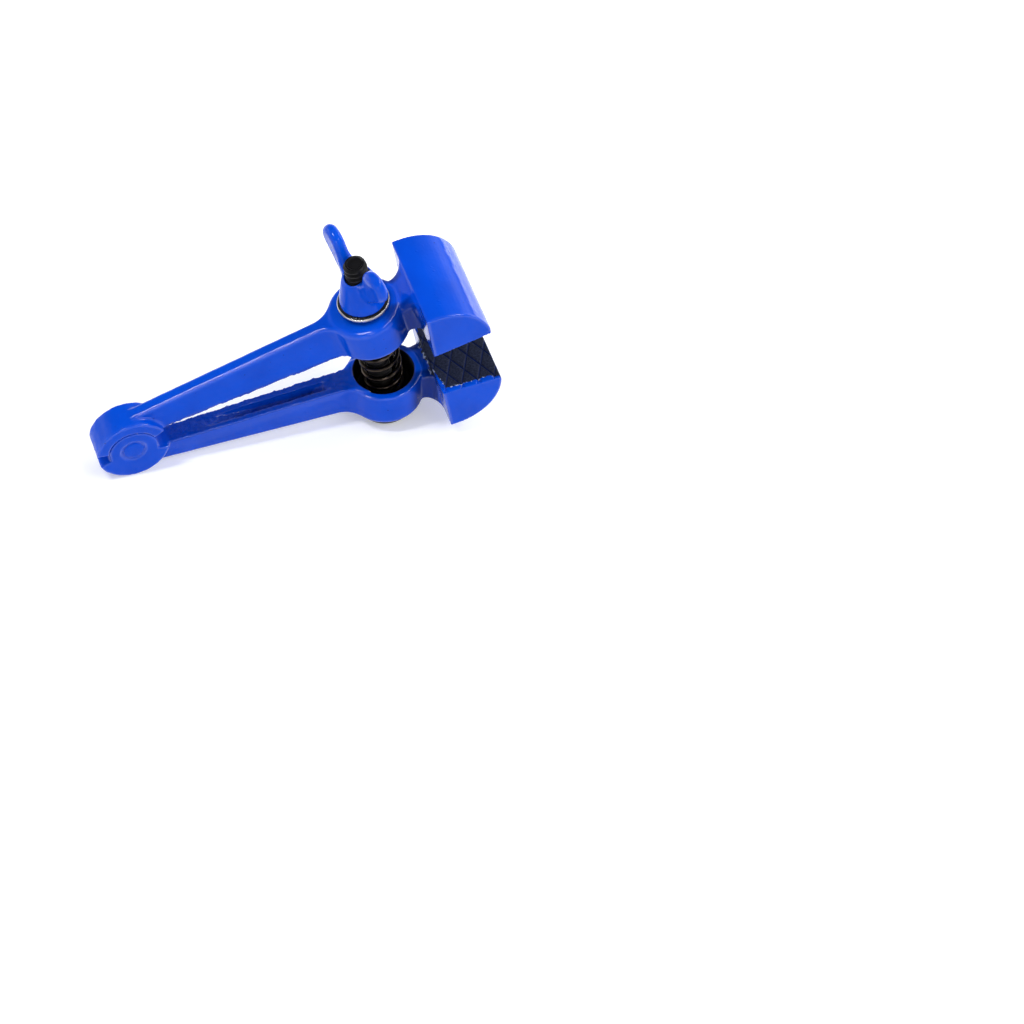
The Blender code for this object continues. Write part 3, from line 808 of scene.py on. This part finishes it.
def agedSkin(mesh, shape, seed, flashAmount):
    points, pairs = readMesh(mesh)
    points, atKnuckle = softenCasting(points, pairs, shape)
    normals = readNormals(mesh, points)
    x, y, z = points.T
    skin, lip, flash = shape["skin"], shape["lip"], shape["flash"]
    slow = waves(points, skin["slowScale"], seed)
    fine = waves(points, skin["fineScale"], seed + 7.0)
    stations = np.linspace(0.0, 0.12, 400)
    edges = np.array([innerEdge(s, **shape["leg"]) for s in stations])
    fade = smoothStep(x, *lip["fading"]) * smoothStep(x, *skin["lipFrom"])
    half = np.interp(x, stations, edges[:, 0]) + lip["wider"] * fade
    face = np.interp(x, stations, edges[:, 1]) - lip["lower"] * fade
    # Rough cast skin on the leg's inner face and the walls of its groove, fine waves elsewhere
    onLeg = smoothStep(x, *skin["from"]) * smoothStep(x, *skin["until"])
    inSlot = smoothStep(np.abs(y), *skin["slotWidth"]) * smoothStep(z - face, *skin["slotDepth"])
    within = onLeg * np.maximum(smoothStep(z - face, *skin["depth"]), inSlot)
    rough = -skin["innerHeight"] * (0.35 + 0.6 * slow + 0.8 * fine)
    lumps = shape["knuckle"]["lumps"]
    lumpy = 0.6 + 0.8 * waves(points, lumps["scale"], seed + 3.0) + 0.4 * fine
    lumpy = -lumps["height"] * lumpy * smoothStep(np.hypot(x, z), *lumps["radius"]) * atKnuckle
    outer = -skin["height"] * (0.5 + slow) + lumpy
    points = points + normals * (rough * within + outer * (1.0 - within))[:, None]
    # Ragged flash along the two inner edges
    near = smoothStep(np.hypot(np.abs(y) - half, z - face), *flash["reach"])
    near = near * onLeg * smoothStep(x, *flash["until"]) * flashAmount
    ragged = near * flashTeeth(x, y, flash, seed) * flash["height"]
    points[:, 1] += np.sign(y) * ragged
    points[:, 2] -= ragged * flash["drop"]
    writePoints(mesh, points)
    return mesh


def cutLevel(bm, geometry, level, **cleared):
    settings = {"dist": meshLimits["cut"], "plane_co": (0, 0, level), "plane_no": (0, 0, 1)}
    bmesh.ops.bisect_plane(bm, geom=geometry, **settings, **cleared)


def fillHoles(bm):
    bmesh.ops.holes_fill(bm, edges=[e for e in bm.edges if e.is_boundary], sides=0)


# Takes the jaw off level, so that the sharp gripping plate can close it
def levelJaw(mesh, jaw):
    bm = bmesh.new()
    bm.from_mesh(mesh)
    faces = [f for f in bm.faces if all(v.co.x > jaw["cutFrom"] for v in f.verts)]
    edges = list(dict.fromkeys(e for f in faces for e in f.edges))
    verts = list(dict.fromkeys(v for f in faces for v in f.verts))
    cutLevel(bm, faces + edges + verts, jaw["faceLevel"], clear_inner=True)
    fillHoles(bm)
    bm.to_mesh(mesh)
    bm.free()


def gripPlate(name, nodeName, placeName, jaw, material):
    bm = nodeMesh(nodeName, placeName)
    cutLevel(bm, bm.verts[:] + bm.edges[:] + bm.faces[:], jaw["faceLevel"], clear_outer=True)
    bmesh.ops.delete(bm, geom=[v for v in bm.verts if v.co.x < jaw["cutFrom"]], context="VERTS")
    fillHoles(bm)
    dissolveFlat(bm)
    bmesh.ops.recalc_face_normals(bm, faces=bm.faces)
    item = newObject(name, finishedMesh(name, bm), material)
    return bevelEdges(item, jaw["gripEdge"], 30.0)


def makeCasting(name, nodeName, placeName, body, material, seed, flashAmount, shape=castingShape):
    mesh = agedSkin(castingBlank(nodeName, placeName, shape), shape, seed, flashAmount)
    levelJaw(mesh, shape["jaw"])
    markBends(mesh)
    plate = gripPlate(name + "Grip", nodeName, placeName, shape["jaw"], material)
    skin = newObject(name, mesh, material)
    shade(mesh, 55.0)
    for piece in (skin, plate):
        piece.data.transform(placeMatrix(placeName))
        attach(piece, body)
        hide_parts(nodeName)
    return skin


lowerCasting = makeCasting(
    "lowerLegCasting", "lower_jaw_leg", "lowerLeg", "lower_leg", lowerEnamel, seed=1.0, flashAmount=1.0
)
upperCasting = makeCasting(
    "upperLegCasting", "upper_jaw_leg", "upperLeg", "upper_leg", upperEnamel, seed=40.0, flashAmount=0.2
)
print("castings:", len(lowerCasting.data.polygons), "and", len(upperCasting.data.polygons), "faces")

washerShape = {"bevel": 0.0001, "bevelAngle": 35.0}


def makeWasher(shape=washerShape):
    bm = nodeMesh("thrust_washer")
    dissolveFlat(bm)
    washer = newObject("thrustWasherSkin", finishedMesh("thrust_washerSkin", bm), brightSteel)
    bevelEdges(washer, shape["bevel"], shape["bevelAngle"], miter_outer="MITER_ARC")
    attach(washer, "washer")
    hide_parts("thrust_washer")


makeWasher()
print("washer made")

# Heights are measured from the nut's base, radii from the bolt's axis
nutShape = {
    "voxel": 0.00026,
    "turn": 105.0,
    "bore": (0.0046, 0.0050),
    "coneRounds": 8,
    "wing": {
        "radius": (0.0052, 0.0068), "from": (0.0006, 0.0028), "top": (0.0126, 0.0136), "rounds": 26,
    },
    "roots": {
        "footShare": 0.15,
        # Radius, half width, lowest and highest level
        "stations": [
            (0.0036, 0.0030, 0.0006, 0.0125),
            (0.0062, 0.0026, 0.0012, 0.0140),
            (0.0080, 0.0019, 0.0058, 0.0165),
        ],
    },
    "fullness": 0.00008,
    "valley": {"depth": 0.0012, "side": (0.35, 0.95), "from": (0.0095, 0.0125)},
    "bend": {"by": 0.0006, "along": (0.0060, 0.0160)},
    "lift": 0.00012,
    "skin": {"height": 0.00003, "scale": 420.0, "seed": 12.0},
}


# Each wing's root has a V-shaped foot
def addRoots(bm, roots, base, turn):
    for side in (turn, turn + math.pi):
        rotation = Matrix.Rotation(side, 3, "Z")
        sections = []
        for u, h, low, high in roots["stations"]:
            foot, middle = h * roots["footShare"], (low + high) / 2
            outline = [(-foot, low), (-h, middle), (-h, high), (h, high), (h, middle), (foot, low)]
            sections.append([rotation @ Vector((u, y, base + z)) for y, z in outline])
        addLoft(bm, sections)


# The wing nut, run together as in a casting
def makeNut(shape=nutShape):
    bm = nodeMesh("wing_nut", "boltSeat")
    base = min(v.co.z for v in bm.verts)
    turn = math.radians(shape["turn"])
    addRoots(bm, shape["roots"], base, turn)
    mesh = voxelMesh("wingNutBlank", bm, shape["voxel"])
    points, pairs = readMesh(mesh)
    radius, level = np.hypot(points[:, 0], points[:, 1]), points[:, 2] - base
    blade, valley, bend, skin = (shape[part] for part in ("wing", "valley", "bend", "skin"))
    wing = smoothStep(radius, *blade["radius"]) * smoothStep(level, *blade["from"])
    wing = np.maximum(wing, smoothStep(level, *blade["top"]))
    bore = smoothStep(radius, *shape["bore"])
    points = relax(points, pairs, 0.5 * (0.15 + 0.85 * bore), shape["coneRounds"])
    points = relax(points, pairs, 0.5 * wing, blade["rounds"])
    points = points + readNormals(mesh, points) * (wing * shape["fullness"])[:, None]
    # A shallow valley in the rim on both sides between the wings
    heading = np.arctan2(points[:, 1], points[:, 0]) - turn
    dip = smoothStep(np.abs(np.sin(heading)), *valley["side"])
    dip = dip * smoothStep(points[:, 2] - base, *valley["from"]) * (1.0 - wing)
    points[:, 2] -= dip * valley["depth"]
    # The far wing is bent a little
    along = points[:, 0] * math.cos(turn) + points[:, 1] * math.sin(turn)
    bent = smoothStep(along, *bend["along"]) * bend["by"]
    points[:, 0] += bent * math.sin(turn)
    points[:, 1] -= bent * math.cos(turn)
    points[:, 2] += wing * shape["lift"]
    slow = waves(points, skin["scale"], skin["seed"])
    points = points - readNormals(mesh, points) * (skin["height"] * (0.5 + slow))[:, None]
    writePoints(mesh, points)
    mesh.transform(placeMatrix("boltSeat"))
    markBends(mesh)
    nut = newObject("wingNutCasting", mesh, nutEnamel)
    shade(mesh, 70.0)
    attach(nut, "nut")
    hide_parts("wing_nut")
    return nut


wingNut = makeNut()
print("wing nut:", len(wingNut.data.polygons), "faces")


def newGeometryTree(name, inputs):
    kinds = ("GeometryNodeTree", inputs, ["Geometry"], "NodeSocketGeometry")
    group, given, end = newGroup(name, *kinds)
    group.is_modifier = True
    return group, given, end


# Ends a tree in real geometry with its material
def closeTree(group, geometry, end, material):
    for kind in ("GeometryNodeSetShadeSmooth", "GeometryNodeRealizeInstances"):
        geometry = addValue(group, kind, {0: geometry})
    inputs = {0: geometry, "Material": material}
    feed(end, {0: addValue(group, "GeometryNodeSetMaterial", inputs)})
    return group


# Runs a tree once and keeps its result as a plain mesh
def runTree(name, group, values, matrix, angle):
    item = newObject(name, bpy.data.meshes.new(name))
    modifier = item.modifiers.new(group.name, "NODES")
    modifier.node_group = group
    for socket in group.interface.items_tree:
        if socket.item_type == "SOCKET" and socket.in_out == "INPUT":
            modifier[socket.identifier] = values[socket.name]
    item.data = evaluatedMesh(item)
    item.data.transform(matrix)
    item.data.set_sharp_from_angle(angle=math.radians(angle))
    return item


def movedTo(tree, geometry, x, y, z):
    place = addValue(tree, "ShaderNodeCombineXYZ", {0: x, 1: y, 2: z})
    return addValue(tree, "GeometryNodeSetPosition", {"Geometry": geometry, "Position": place})


boltShape = {
    "headDrop": 0.001082,
    "headRadius": 0.0092,
    "headThickness": 0.0020,
    "headBevel": 0.0006,
    "headEdge": 0.0002,
    "neckFillet": 0.0004,
    "threadRun": 0.0008,
    "plug": (0.00005, 0.001),
    "flank": (0.22, 0.80),
    "lipShare": 0.15,
    "weld": 0.000004,
}

# The inputs of the screw thread's tree
threadInputs = {
    "Crest Radius": 0.00375,
    "Root Radius": 0.0030,
    "Pitch": 0.0020,
    "Bottom": 0.016,
    "Top": 0.0693,
    "Chamfer": 0.0007,
    "Dimple Radius": 0.0022,
    "Dimple Depth": 0.00040,
    "Rows Per Pitch": 10,
    "Columns": 64,
}


def makeThreadTree(material, inputs=threadInputs, shape=boltShape):
    group, g, end = newGeometryTree("screwThread", inputs)
    turns = (g["Top"] - g["Bottom"]) / g["Pitch"] + 1.0
    rows = calc("FLOOR", turns * g["Rows Per Pitch"]) + 1.0
    size = {"Size X": 1.0, "Size Y": 1.0, "Vertices X": g["Columns"] + 1.0, "Vertices Y": rows}
    grid = addValue(group, "GeometryNodeMeshGrid", size)
    # Rows run round the bolt and climb by one pitch a turn
    x, y, z = split(addValue(group, "GeometryNodeInputPosition"))
    around = x + 0.5
    row = (y + 0.5) * (rows - 1.0)
    phase = row / g["Rows Per Pitch"]
    height = (phase - 1.0 + around) * g["Pitch"] + g["Bottom"]
    height = calc("MINIMUM", calc("MAXIMUM", height, g["Bottom"]), g["Top"])
    wave = calc("PINGPONG", phase, 0.5) * 2.0
    radius = mapRange(wave, *shape["flank"], g["Root Radius"], g["Crest Radius"])
    cone = g["Crest Radius"] - g["Chamfer"] + (g["Top"] - height)
    radius = calc("MINIMUM", radius, cone)
    # The first row closes the lower end; the last three make the dimpled point
    radius = radius * calc("GREATER_THAN", row, 0.5)
    fromLast = rows - 1.0 - row
    lip, dimple, pole = (calc("LESS_THAN", fromLast, limit) for limit in (2.5, 1.5, 0.5))
    share = shape["lipShare"]
    point = g["Dimple Radius"] * (1.0 + share - dimple * share) * (1.0 - pole)
    radius = radius * (1.0 - lip) + point * lip
    height = height * (1.0 - lip) + g["Top"] * lip - dimple * g["Dimple Depth"]
    angle = around * (2 * math.pi)
    x, y = radius * calc("COSINE", angle), radius * calc("SINE", angle)
    welded = {0: movedTo(group, grid, x, y, height), "Distance": shape["weld"]}
    return closeTree(group, addValue(group, "GeometryNodeMergeByDistance", welded), end, material)


# Turns an open profile of radius and height; a radius of nothing is one point
def spinProfile(name, profile, material, steps=96):
    bm = bmesh.new()
    rings = []
    for radius, height in profile:
        points = [(radius * math.cos(a), radius * math.sin(a), height) for a in fullTurn(steps)]
        rings.append([bm.verts.new(point) for point in (points if radius else points[:1])])
    for low, high in zip(rings, rings[1:]):
        for i in range(steps):
            j = (i + 1) % steps
            corners = [low[i % len(low)], low[j % len(low)], high[j % len(high)], high[i % len(high)]]
            corners = list(dict.fromkeys(corners))
            if len(corners) > 2:
                bm.faces.new(corners)
    bmesh.ops.recalc_face_normals(bm, faces=bm.faces)
    item = newObject(name, finishedMesh(name, bm), material)
    shade(item.data, 40.0)
    return item


def makeBolt(shape=boltShape, inputs=threadInputs):
    head, thick, bevel = shape["headRadius"], shape["headThickness"], shape["headBevel"]
    crest, root, start = inputs["Crest Radius"], inputs["Root Radius"], inputs["Bottom"]
    edge, fillet = shape["headEdge"], shape["neckFillet"]
    inset, overlap = shape["plug"]
    profile = [(0, -thick)]
    for a in [math.pi / 2 * i / 5 for i in range(6)]:
        profile.append((head - bevel + bevel * math.sin(a), -thick + bevel - bevel * math.cos(a)))
    profile += [(head, -edge), (head - edge, 0), (crest + fillet, 0), (crest, fillet)]
    profile += [(crest, start - shape["threadRun"]), (root, start)]
    profile += [(root - inset, start + overlap), (0, start + overlap)]
    rod = spinProfile("boltRod", profile, blackOxide)
    matrix = placeMatrix("boltSeat") @ Matrix.Translation((0, 0, -shape["headDrop"]))
    rod.data.transform(matrix)
    thread = runTree("boltThread", makeThreadTree(blackOxide), inputs, matrix, 32.0)
    for piece in (rod, thread):
        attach(piece, "bolt")
    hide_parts("clamp_bolt")
    return thread


rivetShape = {
    "button": [
        (0, -0.00525), (0.0022, -0.00525), (0.0027, -0.00521), (0.0031, -0.00508),
        (0.0033, -0.00490), (0.0033, -0.00460), (0.0030, -0.00450),
    ],
    "radius": 0.0030,
    "seat": 0.0054,
    "head": 0.0038,
    "headEdge": (0.0003, 0.0002),
    "dome": 0.0022,
    "domeSteps": 12,
}


# Turned along the pivot: a dome on the far side, a painted-over button on the near side
def makeRivet(button, radius, seat, head, headEdge, dome, domeSteps):
    inset, rise = headEdge
    profile = button + [(radius, seat - 0.0001), (head - inset, seat), (head, seat + rise)]
    sphere = (head ** 2 + dome ** 2) / (2 * dome)
    sweep = math.asin(min(head / sphere, 1.0))
    for i in range(1, domeSteps + 1):
        a = sweep * (1 - i / domeSteps)
        profile.append((sphere * math.sin(a), seat + dome - sphere * (1 - math.cos(a))))
    rivet = spinProfile("pivotRivet", profile, rivetEnamel, 64)
    turned = Matrix.Rotation(math.radians(-90), 4, "X")
    rivet.data.transform(Matrix.Translation(knucklePoint) @ turned)
    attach(rivet, "lower_leg")
    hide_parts("pivot_rivet")


makeRivet(**rivetShape)
boltThread = makeBolt()
print("rivet made; bolt thread:", len(boltThread.data.polygons), "faces")

springShape = {
    "coil": {
        "Wire": 0.0015,
        "Radius": 0.00605,
        "Turns": 8.5,
        "End Turns": 1.0,
        "End Pitch": 0.0021,
        "Points Per Turn": 40,
    },
    "shift": 0.0002,
    "floor": 0.0050,
    "bossOuter": 0.0158,
    "opening": 10.85,
    "seatGap": 0.0003,
}


# A coil with close end turns, bowed so that both ends stand square on the bosses
def makeSpringTree(inputs, material):
    group, g, end = newGeometryTree("coilSpring", inputs)
    count = g["Turns"] * g["Points Per Turn"] + 1.0
    line = addValue(group, "GeometryNodeMeshLine", {"Count": count})
    turns = addValue(group, "GeometryNodeInputIndex") / g["Points Per Turn"]
    fromEnd = calc("MINIMUM", turns, g["Turns"] - turns)
    usable = g["Height"] - g["Wire"]
    endRise = g["End Turns"] * g["End Pitch"]
    openPitch = (usable - endRise * 2.0) / (g["Turns"] - g["End Turns"] * 2.0)
    inEnd = calc("MINIMUM", fromEnd, g["End Turns"])
    inOpen = calc("MAXIMUM", fromEnd - g["End Turns"], 0.0)
    rise = inEnd * g["End Pitch"] + inOpen * openPitch
    upper = calc("GREATER_THAN", turns * 2.0, g["Turns"])
    level = rise * (1.0 - upper) + (usable - rise) * upper
    along = g["Wire"] / 2.0 + level
    share = along / g["Height"]
    bow = g["Slope"] * g["Height"] * (share - share * share)
    lean = calc("ARCTANGENT", g["Slope"] * (1.0 - share * 2.0))
    angle = turns * (2 * math.pi)
    flat = g["Radius"] * calc("COSINE", angle)
    x = g["Offset"] + bow + flat * calc("COSINE", lean)
    y = g["Radius"] * calc("SINE", angle)
    z = along - flat * calc("SINE", lean)
    curve = addValue(group, "GeometryNodeMeshToCurve", {0: movedTo(group, line, x, y, z)})
    size = {"Resolution": 16, "Radius": g["Wire"] / 2.0}
    ring = addValue(group, "GeometryNodeCurvePrimitiveCircle", size)
    parts = {"Curve": curve, "Profile Curve": ring, "Fill Caps": True}
    return closeTree(group, addValue(group, "GeometryNodeCurveToMesh", parts), end, material)


def makeSpring(shape=springShape):
    half = math.radians(shape["opening"] / 2)
    floor = shape["floor"] * math.cos(half) + shape["seatGap"]
    height = 2 * (shape["bossOuter"] * math.cos(half) + bossX * math.sin(half)) - 2 * floor
    matrix = placeMatrix("springSeat") @ Matrix.Translation((0, 0, floor))
    offset = shape["floor"] * math.sin(half) - shape["shift"]
    inputs = {**shape["coil"], "Height": height, "Slope": math.tan(half), "Offset": offset}
    tree = makeSpringTree(inputs, springSteel)
    spring = runTree("clampSpringCoil", tree, inputs, matrix, 50.0)
    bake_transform(spring)
    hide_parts("clamp_spring")
    return spring


spring = makeSpring()
print("spring:", len(spring.data.polygons), "faces")

floorLook = {
    "colour": (0.84, 0.845, 0.86, 1.0),
    "fleck": 1.01,
    "fibreScale": 120.0,
    "glow": 0.26,
    "roughness": 0.9,
    "specular": 0.1,
    "bump": 0.00002,
    "half": 4.0,
}


def makeFloor(look=floorLook):
    material, tree, shader = newMaterial("paperFloor")
    fibre = noise(objectVector(tree), look["fibreScale"], 4.0)
    fleck = tuple(min(c * look["fleck"], 1.0) for c in look["colour"])
    rays = addNode(tree, "ShaderNodeLightPath").outputs
    seen = [Value(rays[f"Is {kind} Ray"]) for kind in ("Camera", "Glossy", "Transmission")]
    seen = calc("MAXIMUM", calc("MAXIMUM", seen[0], seen[1]), seen[2])
    feed(shader, {
        "Base Color": mixColour(mapRange(fibre, 0.3, 0.7), look["colour"], fleck),
        "Roughness": look["roughness"],
        "Specular IOR Level": look["specular"],
        "Emission Color": (1.0, 1.0, 1.0, 1.0),
        "Emission Strength": seen * look["glow"],
        "Normal": bumped(fibre, look["bump"]),
    })
    mesh = bpy.data.meshes.new("paperFloor")
    r = look["half"]
    mesh.from_pydata([(-r, -r, 0), (r, -r, 0), (r, r, 0), (-r, r, 0)], [], [(0, 1, 2, 3)])
    newObject("paperFloor", mesh, material)


skyLook = {
    "horizon": (0.96, 0.98, 1.0, 1.0),
    "zenith": (0.24, 0.245, 0.255, 1.0),
    "rise": (0.12, 0.55),
    # Bright patches: towards, cosine of the edge, how much brighter
    "patches": [((-0.76, 0.55, 0.35), 0.88, 1.6), ((0.68, 0.50, 0.54), 0.84, 2.8)],
}


def makeSky(look=skyLook):
    world = bpy.data.worlds.new("studioWorld")
    scene.world = world
    world.use_nodes = True
    tree = world.node_tree
    tree.nodes.clear()
    direction = addValue(tree, "ShaderNodeTexCoord", output="Generated")
    height = mapRange(calc("ABSOLUTE", split(direction)[2]), *look["rise"], smooth=True)
    strength = 1.0
    for towards, edge, glow in look["patches"]:
        pair = {0: direction, 1: towards}
        dot = addValue(tree, "ShaderNodeVectorMath", pair, "Value", operation="DOT_PRODUCT")
        strength = mapRange(dot, edge, 1.0, 0.0, glow, smooth=True) + strength
    colour = mixColour(height, look["horizon"], look["zenith"])
    sky = addValue(tree, "ShaderNodeBackground", {"Strength": strength, "Color": colour})
    addNode(tree, "ShaderNodeOutputWorld", {"Surface": sky})


lampTarget = (0.0, 0.0, 0.03)
lamps = [
    {"name": "topSoft", "at": (0.05, 0.10, 1.15), "size": (1.10, 0.80), "glow": 0.20},
    {"name": "leftStrip", "at": (-0.45, 0.00, 1.00), "size": (0.08, 0.30), "glow": 58.0},
    {"name": "rightStrip", "at": (0.575, -0.275, 0.75), "size": (1.30, 0.05), "glow": 29.0},
    {
        "name": "floorWash", "at": (0.30, 0.28, 0.40), "size": (0.40, 0.40), "glow": 24.0,
        "target": (0.60, 0.56, 0.0),
    },
    {"name": "frontFill", "at": (-0.35, -1.10, 0.70), "size": (0.40, 0.28), "glow": 7.5},
    {"name": "rightLow", "at": (1.05, -0.05, 0.35), "size": (0.22, 0.22), "glow": 7.0},
]


def makeLamp(lamp):
    data = bpy.data.lights.new(lamp["name"], "AREA")
    data.shape = "RECTANGLE"
    data.size, data.size_y = lamp["size"]
    data.energy = lamp["glow"] * math.pi * lamp["size"][0] * lamp["size"][1]
    item = newObject(lamp["name"], data)
    item.location = lamp["at"]
    beam = Vector(lamp.get("target", lampTarget)) - Vector(lamp["at"])
    item.rotation_euler = beam.to_track_quat("-Z", "Y").to_euler()


cameraPlace = {
    "at": (-0.273911, -0.836897, 1.040918),
    "turn": (39.13675, -3.05519, -19.17146),
    "lens": 148.777,
    "sensor": 36.0,
    "clip": (0.01, 20.0),
}


def makeCamera(place=cameraPlace):
    data = bpy.data.cameras.new("photoView")
    data.sensor_width = place["sensor"]
    data.sensor_fit = "HORIZONTAL"
    data.lens = place["lens"]
    data.clip_start, data.clip_end = place["clip"]
    item = newObject("photoView", data)
    item.location = place["at"]
    item.rotation_euler = [math.radians(v) for v in place["turn"]]
    scene.camera = item


makeFloor()
makeSky()
for lamp in lamps:
    makeLamp(lamp)
makeCamera()
scene.view_settings.view_transform = "Standard"
print("studio ready")
